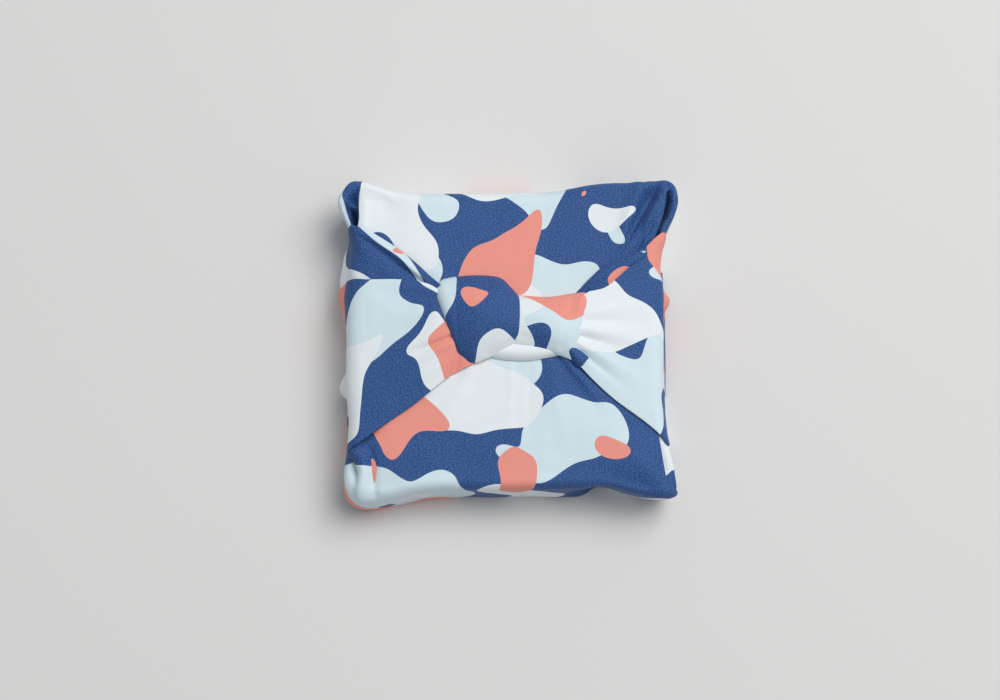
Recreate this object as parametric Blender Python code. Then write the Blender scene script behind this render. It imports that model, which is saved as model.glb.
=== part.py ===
"""Furoshiki wrap: one hemmed square of printed cloth, tied corner to corner around a low square parcel.

The cloth lies with its corners towards the four sides of the parcel. The back and front corners are folded over the
top and tucked in, the left and right corners are brought over them and tied in a knot, and the spare cloth at the
four corners of the parcel is folded into ears. The parcel itself is not built, so the wrap is hollow: a thin flat
base, soft walls, a slightly crowned top that opens along the lip of the front flap, two tails and the knot.

Metres, +Z up, +X to the right and +Y to the back. The origin is the middle of the footprint, on the ground.
"""

import math

import bmesh
import bpy
from mathutils import Vector

MM = 0.001

# The parcel: the distances from its middle to the start of its rounded top edge, and the run of its side.
RIM_EAST = 88 * MM
RIM_NORTH = 88 * MM
RIM_WEST = 88 * MM
RIM_SOUTH = 82 * MM
RIM_HEIGHT = 42 * MM
CROWN = 3 * MM
RIM_ROUNDING = 9 * MM
FOOT_ROUNDING = 4 * MM
WALL_SLOPE = math.radians(80)
CORNER_POWER = 10

# The cloth.
SHELL_THICKNESS = 2.4 * MM
TAIL_THICKNESS = 1.4 * MM
ROLL_THICKNESS = 2.0 * MM
LIP_GAP = 0.5 * MM
EAR_HOLLOWING = 0.35

# Ears of spare cloth at the corners. Angles are in degrees, lengths in mm: how far an ear reaches past the corner at
# the foot, half way up and at the top, how far its top rises, and how round (2) or pointed (1) its tip is. The
# shoulders widen the back ears along the back wall, and the front wall stands nearly upright, most of all beside its
# right ear.
EARS = [
    # name,                 angle, spread, foot, middle, top, rise, roundness
    ("back_right", 42.8, 7.6, 4, 13, 21, 1.5, 2.3),
    ("back_right_shoulder", 56.5, 11.5, 4, 9, 10, 0.5, 2.0),
    ("back_left", 135.0, 7.4, 4, 13, 20.5, 2.0, 1.8),
    ("back_left_shoulder", 126.0, 8.0, 1, 3, 3.5, 0.5, 2.0),
    ("front_left", 226.0, 9.5, 11, 14, 9, -3.0, 2.0),
    ("front_wall", 270.0, 30.0, -4.6, -2.5, 0, 0.0, 4.0),
    ("front_right_recess", 306.0, 7.0, -6.5, -4, 0, 0.0, 2.0),
    ("front_right", 318.7, 7.5, 3, 18, 19, -5.0, 1.4),
]

# Slow swellings of the walls and the front, which the tails follow too. The columns are those of the folds.
BULGES = [
    ("left_wall_notch", -114, 88, -114, 82, 6.0, -1.0),
    ("left_wall_back", -112, 62, -112, 34, 9.0, 4.0),
    ("left_wall_middle", -114, 3, -114, -6, 10.0, -4.2),
    ("left_wall_hump", -112, -27, -112, -30, 7.0, 3.4),
    ("left_wall_front", -114, -44, -114, -60, 9.0, -6.0),
    ("right_wall_back", 113, 68, 113, 52, 9.5, -5.6),
    ("right_wall_hump", 112, 29, 112, 27, 7.0, 3.6),
    ("right_wall_pinch", 114, 14, 114, 6, 7.0, -2.4),
    ("right_wall_middle", 113, -4, 113, -44, 10.0, -1.6),
    ("back_wall", -50, 112, 40, 112, 14.0, 1.6),
]

# Folds of the body, in mm on the parcel laid open: past the rim, x and y run on down the wall. A fold rises (+) or
# sinks (-) by its height over its width, along the line from its start to its end.
BODY_FOLDS = [
    # name,                 x1,   y1,   x2,   y2, width, height
    ("back_left_cup", -99, 93, -96, 74, 3.6, -11),
    ("back_left_rim", -106, 90, -104, 74, 3.5, 2.0),
    ("back_right_ridge", 86, 101, 84, 62, 4.5, 2.6),
    ("back_right_trough", 97, 101, 90, 78, 4.5, -4.5),
    ("back_right_pocket", 96, 78, 96, 66, 4.5, -8),
    ("back_right_edge", 104, 96, 103, 74, 4.0, 2.0),
    ("front_left_dimple", -101, -79, -97, -88, 3.4, -7),
    ("front_left_nose", -92, -72, -90, -104, 6.0, 2.2),
    ("front_left_wedge", -86, -114, -62, -103, 3.4, -4.5),
    ("front_right_strip", 98, -62, 104, -84, 3.0, 2.0),
    ("front_right_step", 93, -54, 98, -83, 2.6, 1.0),
    ("front_crease", -60, -87, 60, -87, 5.0, 0.8),
    ("knot_pull_right", 36, -12, 60, -48, 4.5, 2.0),
    ("knot_pull_front", 28, -14, 34, -46, 5.0, 1.0),
]

# Stations of each strip of cloth, in mm: its two edges on the parcel laid open, and its lift off the body at the
# first edge, in the middle and at the second edge.
WEST_UNDER_TAIL = [
    # x1,  y1,   x2,   y2,  lift1, middle, lift2
    (-128, 62, -128, 27, -0.9, -0.9, -0.9),
    (-120, 66, -120, 26, 1.1, 1.1, 1.1),
    (-110, 71, -110, 24, 1.7, 1.7, 1.7),
    (-101, 73, -101, 24, 2.0, 1.9, 1.9),
    (-94, 73, -92, 24, 2.6, 1.9, 1.9),
    (-86, 71, -82, 24, 3.4, 1.9, 1.9),
    (-67, 55, -66, 24, 4.0, 2.0, 1.9),
    (-46, 37, -47, 22, 4.6, 3.0, 3.0),
    (-30, 27, -32, 18, 6.0, 5.0, 4.5),
]
WEST_TAIL = [
    (-130, 31, -130, -57, -0.8, -0.8, -0.8),
    (-122, 34, -122, -59, 1.6, 1.7, 1.2),
    (-111, 37.5, -111, -62, 4.2, 3.4, 1.8),
    (-101, 39, -100, -65, 4.4, 3.8, 2.1),
    (-94, 39.5, -95, -63, 4.0, 3.9, 2.1),
    (-84, 39.5, -89, -59, 4.2, 4.6, 2.1),
    (-66, 39, -76, -50, 4.2, 5.6, 2.1),
    (-51, 36.5, -58, -38, 4.6, 7.2, 2.4),
    (-42, 31, -42, -25, 5.4, 8.6, 3.4),
    (-28, 22, -24, -10, 6.0, 9.0, 5.0),
]
EAST_TAIL = [
    (129, 47, 129, -55, -0.9, -0.9, -0.9),
    (121, 52, 121, -57, 1.2, 1.2, 1.2),
    (110, 59, 110, -60, 1.8, 1.8, 1.7),
    (100, 63, 101, -61, 2.1, 2.1, 2.0),
    (93, 61, 95, -57, 2.2, 2.4, 2.0),
    (84, 55, 86, -50, 2.4, 3.4, 2.0),
    (73, 47, 68, -36, 2.6, 4.8, 2.1),
    (62, 37, 53, -22, 3.2, 6.4, 2.8),
    (50, 31, 43, -12, 4.6, 7.6, 4.0),
    (36, 24, 32, -4, 5.4, 8.0, 4.8),
]
EAST_ROLL = [
    (92, 60, 91, 56.5, 2.4, 2.8, 2.4),
    (82, 58, 84, 52.5, 2.5, 4.4, 3.4),
    (67, 52.5, 73, 45, 2.6, 5.4, 4.0),
    (58, 47.5, 63, 36.5, 2.8, 6.2, 4.6),
    (49, 39, 53, 31, 3.4, 7.0, 5.4),
    (41, 31, 45, 24, 4.4, 7.4, 6.0),
    (31, 24, 35, 16, 5.4, 7.4, 6.4),
]

# Stations of the knot's bands, from the left to the right, in mm: the back and front ends, the height of the crest
# over the body, and how far along the band the crest lies.
LEFT_BAND = [
    # x_back, y_back, x_front, y_front, crest, crest_at
    (-44.5, 35, -33, -3, 7, 0.45),
    (-39.5, 40.5, -28, -9, 12, 0.45),
    (-24, 43, -21, -12, 16, 0.45),
    (-9, 42.5, -12, -9.5, 17, 0.45),
    (0, 37.5, -4, -6, 15, 0.5),
    (7.5, 30, 6, 0, 10, 0.5),
]
RIGHT_BAND = [
    (-3, 31, -2, -2, 9, 0.5),
    (8, 30.5, 12, -3, 11, 0.45),
    (25, 29.5, 26, -5.5, 13, 0.45),
    (39.5, 32, 33, -7.5, 12, 0.5),
    (51.5, 32.5, 40, -9.5, 7, 0.5),
]
LOWER_BAND = [
    (-12, 4, -11, -7, 5, 0.6),
    (0, 4, 0, -10, 6, 0.6),
    (18, 4, 19, -10, 6, 0.6),
    (37, 3, 36, -6.5, 5, 0.6),
]
END_TAB = [
    (31, 5, 32, -9, 6.5, 0.5),
    (42, 2, 42, -13, 7.0, 0.5),
    (53, -4, 49, -10, 4, 0.5),
]

# The front flap's lip, where the top opens: it slants through the shell under the tails and the knot.
LIP_HALF_LENGTH = 92 * MM
LIP_BACK = (18 * MM, 2.5 * MM)
LIP_FRONT = (8 * MM, -5.0 * MM)

CLOTH_COLOUR = (0.42, 0.52, 0.66, 1.0)
CLOTH_ROUGHNESS = 0.7


def rim_distance(angle):
    """Distance from the middle to the rim of the plain parcel: a rounded square with its own reach on each side."""
    along_x = abs(math.cos(angle)) / (RIM_EAST if math.cos(angle) > 0 else RIM_WEST)
    along_y = abs(math.sin(angle)) / (RIM_NORTH if math.sin(angle) > 0 else RIM_SOUTH)
    return (along_x**CORNER_POWER + along_y**CORNER_POWER) ** (-1 / CORNER_POWER)


def ear_strength(angle, ear):
    """1 on an ear's own line, falling to 0 at its sides."""
    name, ear_angle, spread, foot, middle, top, rise, roundness = ear
    off = (math.degrees(angle) - ear_angle + 180) % 360 - 180
    return math.exp(-((abs(off) / spread) ** roundness))


def ear_reach(angle, height, share=1.0):
    """How far the ears stand out at a height, from the three reaches of each. A share under 1 shrinks all but a recess."""
    level = min(max(height / RIM_HEIGHT, 0), 1)
    reach = 0
    for ear in EARS:
        foot, middle, top = ear[3:6]
        bend = foot * (1 - level) * (1 - 2 * level) + 4 * middle * level * (1 - level) + top * level * (2 * level - 1)
        reach += bend * MM * ear_strength(angle, ear) * (share if foot > 0 else 1)
    return reach


def side_profile(run):
    """Outward distance, height and slope after a run over the rim, down the wall and round the foot."""
    rim_run = RIM_ROUNDING * WALL_SLOPE
    rim_out = RIM_ROUNDING * math.sin(WALL_SLOPE)
    rim_drop = RIM_ROUNDING * (1 - math.cos(WALL_SLOPE))
    foot_drop = FOOT_ROUNDING * (1 + math.cos(WALL_SLOPE))
    wall_run = (RIM_HEIGHT - rim_drop - foot_drop) / math.sin(WALL_SLOPE)
    if run <= rim_run:
        slope = run / RIM_ROUNDING
        return RIM_ROUNDING * math.sin(slope), RIM_HEIGHT - RIM_ROUNDING * (1 - math.cos(slope)), slope
    run -= rim_run
    if run <= wall_run:
        return rim_out + run * math.cos(WALL_SLOPE), RIM_HEIGHT - rim_drop - run * math.sin(WALL_SLOPE), WALL_SLOPE
    slope = min(WALL_SLOPE + (run - wall_run) / FOOT_ROUNDING, math.pi)
    out = rim_out + wall_run * math.cos(WALL_SLOPE) + FOOT_ROUNDING * (math.sin(slope) - math.sin(WALL_SLOPE))
    return out, FOOT_ROUNDING * (1 + math.cos(slope)), slope


def side_run():
    """The whole run from the rim to the flat base."""
    rim_drop = RIM_ROUNDING * (1 - math.cos(WALL_SLOPE))
    foot_drop = FOOT_ROUNDING * (1 + math.cos(WALL_SLOPE))
    wall_run = (RIM_HEIGHT - rim_drop - foot_drop) / math.sin(WALL_SLOPE)
    return RIM_ROUNDING * WALL_SLOPE + wall_run + FOOT_ROUNDING * (math.pi - WALL_SLOPE)


def fold_height(x, y, folds):
    """Sum of the folds at a place on the parcel laid open: soft ridges and troughs that fade past their ends."""
    total = 0
    for name, x1, y1, x2, y2, width, height in folds:
        along_x, along_y = (x2 - x1) * MM, (y2 - y1) * MM
        length_squared = along_x**2 + along_y**2
        place = ((x - x1 * MM) * along_x + (y - y1 * MM) * along_y) / length_squared
        place = min(max(place, 0), 1)
        away = math.hypot(x - x1 * MM - place * along_x, y - y1 * MM - place * along_y)
        total += height * MM * math.exp(-((away / (width * MM)) ** 2))
    return total


def hollow_folds():
    """The sinking folds as the hollow follows them, wider by the thickness of the cloth on both sides."""
    wider = SHELL_THICKNESS / MM
    sinking = [fold for fold in BODY_FOLDS if fold[6] < 0]
    return BULGES + [fold[:5] + (fold[5] + wider, fold[6]) for fold in sinking]


def unevenness(x, y):
    """The slack of hand-wrapped cloth: a slow rise and fall of about half a millimetre."""
    return 0.6 * MM * math.sin(x / 0.031 + 0.7) * math.sin(y / 0.027 + 1.9)


def on_parcel(x, y, lift=0.0, ears=1.0, folds=BULGES):
    """The point on the parcel's surface for a place on the parcel laid open, lifted off it by a distance."""
    angle = math.atan2(y, x)
    radius = math.hypot(x, y)
    outward = Vector((math.cos(angle), math.sin(angle), 0))
    rim = rim_distance(angle) + ear_reach(angle, RIM_HEIGHT, ears)
    run = radius - rim
    if run <= 0:
        out, slope = run, 0
        near_rim = min(max(4 * radius / rim - 3, 0), 1) ** 2
        rise = sum(ear[6] * MM * ear_strength(angle, ear) for ear in EARS)
        height = RIM_HEIGHT + CROWN * (1 - (radius / rim) ** 2) + ears * rise * near_rim
    else:
        out, height, slope = side_profile(run)
        rise = sum(ear[6] * MM * ear_strength(angle, ear) for ear in EARS)
        height += ears * rise * height / RIM_HEIGHT
    distance = rim_distance(angle) + ear_reach(angle, height, ears) + out
    normal = outward * math.sin(slope) + Vector((0, 0, math.cos(slope)))
    softness = min(height / (6 * MM), 1)
    push = lift + (fold_height(x, y, folds) + unevenness(x, y)) * softness
    return outward * distance + Vector((0, 0, height)) + normal * push


def smooth_row(rows, place):
    """The row at a place from 0 to 1 along a table, on a smooth curve through its rows."""
    span = place * (len(rows) - 1)
    first = min(int(span), len(rows) - 2)
    t = span - first
    before, here = rows[max(first - 1, 0)], rows[first]
    ahead, after = rows[first + 1], rows[min(first + 2, len(rows) - 1)]
    return [
        0.5 * (2 * b + (c - a) * t + (2 * a - 5 * b + 4 * c - d) * t**2 + (3 * b - a - 3 * c + d) * t**3)
        for a, b, c, d in zip(before, here, ahead, after)
    ]


def solid_object(name, points, faces):
    """A mesh object with its faces turned outwards."""
    mesh = bpy.data.meshes.new(name)
    mesh.from_pydata(points, [], faces)
    form = bmesh.new()
    form.from_mesh(mesh)
    bmesh.ops.recalc_face_normals(form, faces=form.faces)
    form.to_mesh(mesh)
    form.free()
    solid = bpy.data.objects.new(name, mesh)
    bpy.context.scene.collection.objects.link(solid)
    return solid


def slab(name, top_rows, under_rows):
    """A closed solid between two grids of points, the second one under the first."""
    rows, columns = len(top_rows), len(top_rows[0])
    points = [p for row in top_rows for p in row] + [p for row in under_rows for p in row]
    under = rows * columns

    def at(row, column):
        return row * columns + column

    faces = []
    for r in range(rows - 1):
        for c in range(columns - 1):
            quad = (at(r, c), at(r + 1, c), at(r + 1, c + 1), at(r, c + 1))
            faces.append(quad)
            faces.append(tuple(under + i for i in reversed(quad)))
    border = [at(0, c) for c in range(columns)] + [at(r, columns - 1) for r in range(1, rows)]
    border += [at(rows - 1, c) for c in range(columns - 2, -1, -1)] + [at(r, 0) for r in range(rows - 2, 0, -1)]
    for i, here in enumerate(border):
        ahead = border[(i + 1) % len(border)]
        faces.append((here, ahead, under + ahead, under + here))
    return solid_object(name, points, faces)


def ringed_solid(name, rings, top, bottom):
    """A closed solid of rings of points, from its top point down to its bottom point."""
    columns = len(rings[0])
    points = [top] + [p for ring in rings for p in ring] + [bottom]
    last = len(points) - 1
    faces = []
    for c in range(columns):
        ahead = (c + 1) % columns
        faces.append((0, 1 + c, 1 + ahead))
        for r in range(len(rings) - 1):
            upper, lower = 1 + r * columns, 1 + (r + 1) * columns
            faces.append((upper + c, lower + c, lower + ahead, upper + ahead))
        lowest = 1 + (len(rings) - 1) * columns
        faces.append((last, lowest + ahead, lowest + c))
    return solid_object(name, points, faces)


def ring_angles(columns):
    """Angles round the parcel, drawn together towards its four corners."""
    angles = []
    for i in range(columns):
        turn = 2 * math.pi * i / columns
        angles.append(turn + 0.14 * math.sin(4 * turn))
    return angles


def body_solid(name, columns, top_steps, side_steps, inset, ears, folds):
    """The parcel's outer form, or its hollow when it is inset by the thickness of the cloth."""
    angles = ring_angles(columns)
    rings = []
    for step in top_steps:
        ring = []
        for angle in angles:
            radius = step * (rim_distance(angle) + ear_reach(angle, RIM_HEIGHT, ears))
            ring.append(on_parcel(radius * math.cos(angle), radius * math.sin(angle), -inset, ears, folds))
        rings.append(ring)
    for step in side_steps:
        ring = []
        for angle in angles:
            radius = rim_distance(angle) + ear_reach(angle, RIM_HEIGHT, ears) + step * side_run()
            ring.append(on_parcel(radius * math.cos(angle), radius * math.sin(angle), -inset, ears, folds))
        rings.append(ring)
    foot = rings[-1]
    for share in (0.93, 0.6):
        rings.append([Vector((p.x * share, p.y * share, inset)) for p in foot])
    return ringed_solid(name, rings, on_parcel(0, 0, -inset, ears, folds), Vector((0, 0, inset)))


def strip_solid(name, stations, along, across, thickness):
    """A strip of cloth over the parcel: stations along it, and across it a bow from edge to edge."""
    top_rows, under_rows = [], []
    for i in range(along + 1):
        x1, y1, x2, y2, lift1, middle, lift2 = smooth_row(stations, i / along)
        top_row, under_row = [], []
        for j in range(across + 1):
            v = j / across
            x, y = (x1 + (x2 - x1) * v) * MM, (y1 + (y2 - y1) * v) * MM
            bow = middle - (lift1 + lift2) / 2
            lift = (lift1 + (lift2 - lift1) * v + bow * math.sin(math.pi * v)) * MM
            top_row.append(on_parcel(x, y, lift))
            under_row.append(on_parcel(x, y, lift - thickness))
        top_rows.append(top_row)
        under_rows.append(under_row)
    return slab(name, top_rows, under_rows)


def band_solid(name, stations, along, across, sink):
    """A band of the knot: it rises from one end to its crest and comes down to the other end, sunk into the body."""
    top_rows, under_rows = [], []
    for i in range(along + 1):
        x1, y1, x2, y2, crest, crest_at = smooth_row(stations, i / along)
        side = math.sin(math.pi * (0.06 + 0.88 * i / along)) ** 0.35
        top_row, under_row = [], []
        for j in range(across + 1):
            v = j / across
            x, y = (x1 + (x2 - x1) * v) * MM, (y1 + (y2 - y1) * v) * MM
            warped = 0.5 * v / crest_at if v < crest_at else 0.5 + 0.5 * (v - crest_at) / (1 - crest_at)
            rise = crest * math.sin(math.pi * (0.04 + 0.92 * warped)) ** 0.6 * side
            top_row.append(on_parcel(x, y, rise * MM))
            under_row.append(on_parcel(x, y, -sink))
        top_rows.append(top_row)
        under_rows.append(under_row)
    return slab(name, top_rows, under_rows)


def lip_cutter():
    """A thin slanting sheet that cuts the opening along the front flap's lip."""
    (y_back, lift_back), (y_front, lift_front) = LIP_BACK, LIP_FRONT
    steps = 12
    top_rows, under_rows = [], []
    for i in range(steps + 1):
        x = LIP_HALF_LENGTH * (1 - 2 * i / steps)
        top_rows.append([on_parcel(x, y_back, lift_back), on_parcel(x, y_front, lift_front)])
        under_rows.append([p - Vector((0, 0, LIP_GAP)) for p in top_rows[-1]])
    return slab("lip_cutter", top_rows, under_rows)


def combine(body, other, operation):
    """Cuts a helper solid from the body, or joins it on, and keeps the helper out of sight."""
    other.hide_render = True
    other.display_type = "WIRE"
    step = body.modifiers.new(other.name, "BOOLEAN")
    step.operation = operation
    step.solver = "EXACT"
    step.object = other


def stand_on_footprint(objects):
    """Moves the finished meshes so that the middle of their footprint is the origin."""
    points = [v.co for o in objects for v in o.data.vertices]
    middle_x = (min(p.x for p in points) + max(p.x for p in points)) / 2
    middle_y = (min(p.y for p in points) + max(p.y for p in points)) / 2
    for o in objects:
        for v in o.data.vertices:
            v.co.x -= middle_x
            v.co.y -= middle_y


def cloth_material():
    material = bpy.data.materials.new("printed_cloth")
    material.use_nodes = True
    shader = material.node_tree.nodes["Principled BSDF"]
    shader.inputs["Base Color"].default_value = CLOTH_COLOUR
    shader.inputs["Roughness"].default_value = CLOTH_ROUGHNESS
    shader.inputs["Metallic"].default_value = 0.0
    return material


def build():
    for o in list(bpy.data.objects):
        bpy.data.objects.remove(o)
    top_steps = (0.12, 0.3, 0.5, 0.66, 0.78, 0.86, 0.92, 0.96, 1.0)
    side_steps = (0.08, 0.16, 0.24, 0.34, 0.5, 0.66, 0.8, 0.88, 0.94, 1.0)
    wrap = body_solid("furoshiki_cloth", 88, top_steps, side_steps, 0.0, 1.0, BULGES + BODY_FOLDS)
    hollow_top = (0.3, 0.6, 0.85, 1.0)
    hollow_side = (0.12, 0.24, 0.5, 0.78, 0.88, 1.0)
    hollow = body_solid("hollow", 64, hollow_top, hollow_side, SHELL_THICKNESS, EAR_HOLLOWING, hollow_folds())
    cuts = [hollow, lip_cutter()]
    strips = [
        strip_solid("west_under_tail", WEST_UNDER_TAIL, 24, 8, TAIL_THICKNESS),
        strip_solid("west_tail", WEST_TAIL, 28, 11, TAIL_THICKNESS),
        strip_solid("east_tail", EAST_TAIL, 28, 11, TAIL_THICKNESS),
        strip_solid("east_roll", EAST_ROLL, 14, 6, ROLL_THICKNESS),
        band_solid("right_band", RIGHT_BAND, 12, 12, 0.9 * MM),
        band_solid("lower_band", LOWER_BAND, 8, 6, 0.6 * MM),
        band_solid("end_tab", END_TAB, 6, 6, 1.5 * MM),
        band_solid("left_band", LEFT_BAND, 14, 14, 1.2 * MM),
    ]
    stand_on_footprint([wrap] + cuts + strips)
    for cutter in cuts:
        combine(wrap, cutter, "DIFFERENCE")
    for strip in strips:
        combine(wrap, strip, "UNION")
    wrap.data.materials.append(cloth_material())
    wrap.data.shade_smooth()
    wrap.data.set_sharp_from_angle(angle=math.radians(50))


build()
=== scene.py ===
"""Furoshiki wrap: one hemmed square of printed cloth, tied corner to corner round a low square parcel.

The cloth is laid fold by fold, in the order in which it is wrapped: the base and the walls, the back
corner, the front corner, the left tail over its under fold, the right tail with its rolled hem, and the
knot. Lengths in the tables are in mm on the parcel laid open: past the rim, x and y run on down the wall.
"""

import math

import bpy
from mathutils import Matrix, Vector, noise


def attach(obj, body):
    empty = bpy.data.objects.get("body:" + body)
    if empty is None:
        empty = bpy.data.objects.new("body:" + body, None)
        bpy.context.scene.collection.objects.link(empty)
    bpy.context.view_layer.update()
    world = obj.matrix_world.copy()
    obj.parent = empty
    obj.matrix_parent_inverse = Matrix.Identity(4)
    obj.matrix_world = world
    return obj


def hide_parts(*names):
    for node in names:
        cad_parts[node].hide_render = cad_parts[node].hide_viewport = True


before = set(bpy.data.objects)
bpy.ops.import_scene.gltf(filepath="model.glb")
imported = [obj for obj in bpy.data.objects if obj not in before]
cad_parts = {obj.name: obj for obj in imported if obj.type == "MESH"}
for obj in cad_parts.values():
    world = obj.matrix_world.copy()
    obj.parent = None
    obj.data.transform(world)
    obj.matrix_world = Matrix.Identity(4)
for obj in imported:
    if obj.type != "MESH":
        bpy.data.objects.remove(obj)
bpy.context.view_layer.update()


# ---- Table, light and camera -----------------------------------------------------------------------------
# A plain pale sheet of paper lies under the wrap. One large soft window is up to the right and behind, and
# a weak one fills from the front left. The camera looks down from a little in front of overhead.

PAPER_COLOUR = (0.74, 0.735, 0.730, 1.0)
PAPER_SHADE = 0.97
PAPER_SIZE = 6.0
WINDOW_AIM = Vector((0, 0, 0.02))
ROOM_COLOUR = (0.96, 0.98, 1.0, 1.0)
ROOM_STRENGTH = 0.35
CAMERA_TARGET = Vector((-0.0048, -0.0057, 0.042))
CAMERA_DISTANCE = 1.25
CAMERA_ELEVATION = math.radians(82)
METRES_A_PIXEL = 0.00062
PICTURE_WIDTH = 1000
SENSOR_WIDTH = 36.0

bpy.ops.object.select_all(action="DESELECT")
bpy.ops.mesh.primitive_plane_add(size=PAPER_SIZE)
table = bpy.context.object
table.name = "table_paper"
paper = bpy.data.materials.new("pale_paper")
paper.use_nodes = True
paper_nodes, paper_links = paper.node_tree.nodes, paper.node_tree.links
paper_shader = paper_nodes["Principled BSDF"]
paper_shader.inputs["Roughness"].default_value = 0.95
paper_shader.inputs["Specular IOR Level"].default_value = 0.2
paper_place = paper_nodes.new("ShaderNodeTexCoord")
paper_tone = paper_nodes.new("ShaderNodeTexNoise")
paper_tone.inputs["Scale"].default_value = 1.6
paper_tone.inputs["Detail"].default_value = 3.0
paper_mix = paper_nodes.new("ShaderNodeMix")
paper_mix.data_type = "RGBA"
paper_mix.inputs["A"].default_value = PAPER_COLOUR
paper_mix.inputs["B"].default_value = tuple(c * PAPER_SHADE for c in PAPER_COLOUR[:3]) + (1.0,)
paper_links.new(paper_place.outputs["Object"], paper_tone.inputs["Vector"])
paper_links.new(paper_tone.outputs["Fac"], paper_mix.inputs["Factor"])
paper_links.new(paper_mix.outputs["Result"], paper_shader.inputs["Base Color"])
table.data.materials.append(paper)

WINDOWS = [
    # name, x, y, z, size, watts, colour
    ("window", 1.5, 1.3, 3.4, 2.4, 119.0, (1.0, 0.99, 0.975)),
    ("fill", -1.3, -1.1, 2.2, 1.6, 1.5, (0.94, 0.97, 1.0)),
]
for name, x, y, z, size, watts, colour in WINDOWS:
    lamp = bpy.data.lights.new(name, "AREA")
    lamp.size = size
    lamp.energy = watts
    lamp.color = colour
    stand = bpy.data.objects.new(name, lamp)
    bpy.context.scene.collection.objects.link(stand)
    stand.location = (x, y, z)
    stand.rotation_euler = (WINDOW_AIM - stand.location).to_track_quat("-Z", "Y").to_euler()

room = bpy.data.worlds.new("pale_room")
bpy.context.scene.world = room
room.use_nodes = True
room.node_tree.nodes["Background"].inputs["Color"].default_value = ROOM_COLOUR
room.node_tree.nodes["Background"].inputs["Strength"].default_value = ROOM_STRENGTH
bpy.context.scene.view_settings.view_transform = "Standard"
bpy.context.scene.view_settings.look = "None"

lens = bpy.data.cameras.new("camera")
lens.sensor_width = SENSOR_WIDTH
lens.lens = SENSOR_WIDTH * CAMERA_DISTANCE / METRES_A_PIXEL / PICTURE_WIDTH
camera = bpy.data.objects.new("camera", lens)
bpy.context.scene.collection.objects.link(camera)
back_off = Vector((0, -math.cos(CAMERA_ELEVATION), math.sin(CAMERA_ELEVATION)))
camera.location = CAMERA_TARGET + CAMERA_DISTANCE * back_off
camera.rotation_euler = (-back_off).to_track_quat("-Z", "Y").to_euler()
bpy.context.scene.camera = camera


# ---- Base and walls of the cloth -------------------------------------------------------------------------
# The middle of the square lies under the parcel and comes up its four walls. It is a smooth printed twill,
# and the spare cloth at the four corners stands out as soft ears. Each back ear opens in a deep slit.

MM = 0.001
PARCEL_MIDDLE = (-1.002, -2.493)
RIM_REACH = {"east": 88.0, "north": 88.0, "west": 88.0, "south": 82.0}
RIM_HEIGHT = 42.0
CROWN = 3.0
RIM_ROUNDING = 9.0
FOOT_ROUNDING = 4.0
WALL_SLOPE = math.radians(80)
CORNER_POWER = 10
LIFTED_SHARE = 0.25
EAR_FADE = 0.0005
# An ear is a direction and a spread in degrees, how far it stands out at the wall's foot, middle and top,
# how far it lifts the rim, and how round its sides are. Where the wall stands in, the reaches are below 0.
EARS = [
    # angle, spread, foot, middle, top, rise, roundness
    (42.8, 7.6, 4, 13, 21, 1.5, 2.3),
    (56.5, 11.5, 4, 9, 10, 0.5, 2.0),
    (133.5, 7.4, 4, 13, 19.5, 2.0, 1.8),
    (139.4, 2.8, 1, 5, 8, 0.5, 2.0),
    (127.5, 3.0, 0, -1, -1.4, 0.0, 2.0),
    (226.0, 9.5, 11, 14, 9, -3.0, 2.0),
    (270.0, 30.0, -4.6, -2.5, 0, 0.0, 4.0),
    (305.4, 5.8, -10.4, -7.6, -1.8, 0.0, 2.0),
    (318.9, 8.2, 3, 16.5, 18.5, -5.0, 1.4),
]
# A fold is the places that it runs through, each with its width and its height. A lean over 1 makes its
# left side, seen along its run, wider than its right side. It fades out near the table.
FOLD_WIDTHS = 3
FADES_BELOW = 6.0
SWELLINGS = [
    # lean, (x, y, width, height), ...
    (1.0, (-114, 88, 6.0, -1.0), (-114, 82, 6.0, -1.0)),
    (1.0, (-112, 62, 9.0, 4.0), (-112, 47, 9.0, 5.8), (-112, 34, 9.0, 4.6)),
    (1.0, (-114, 3, 10.0, -4.2), (-114, -6, 10.0, -4.2)),
    (1.0, (-112, -27, 7.0, 3.4), (-112, -30, 7.0, 3.4)),
    (1.0, (-114, -44, 8.5, -9.0), (-114, -53, 8.0, -9.4), (-114, -61, 7.0, -6.4)),
    (1.0, (113, 68, 9.0, -5.8), (113, 61, 9.0, -7.2), (113, 52, 9.0, -5.8)),
    (1.0, (112, 33, 6.0, 3.8), (112, 31, 6.0, 3.8)),
    (1.0, (114, 21, 7.5, -6.8), (114, 9, 7.5, -5.2)),
    (1.0, (55, -110, 8.0, -3.0), (70, -111, 7.0, -3.6)),
    (1.0, (113, -4, 10.0, -1.6), (113, -44, 10.0, -1.6)),
    (1.0, (-50, 112, 14.0, 1.6), (40, 112, 14.0, 1.6)),
]
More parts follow.
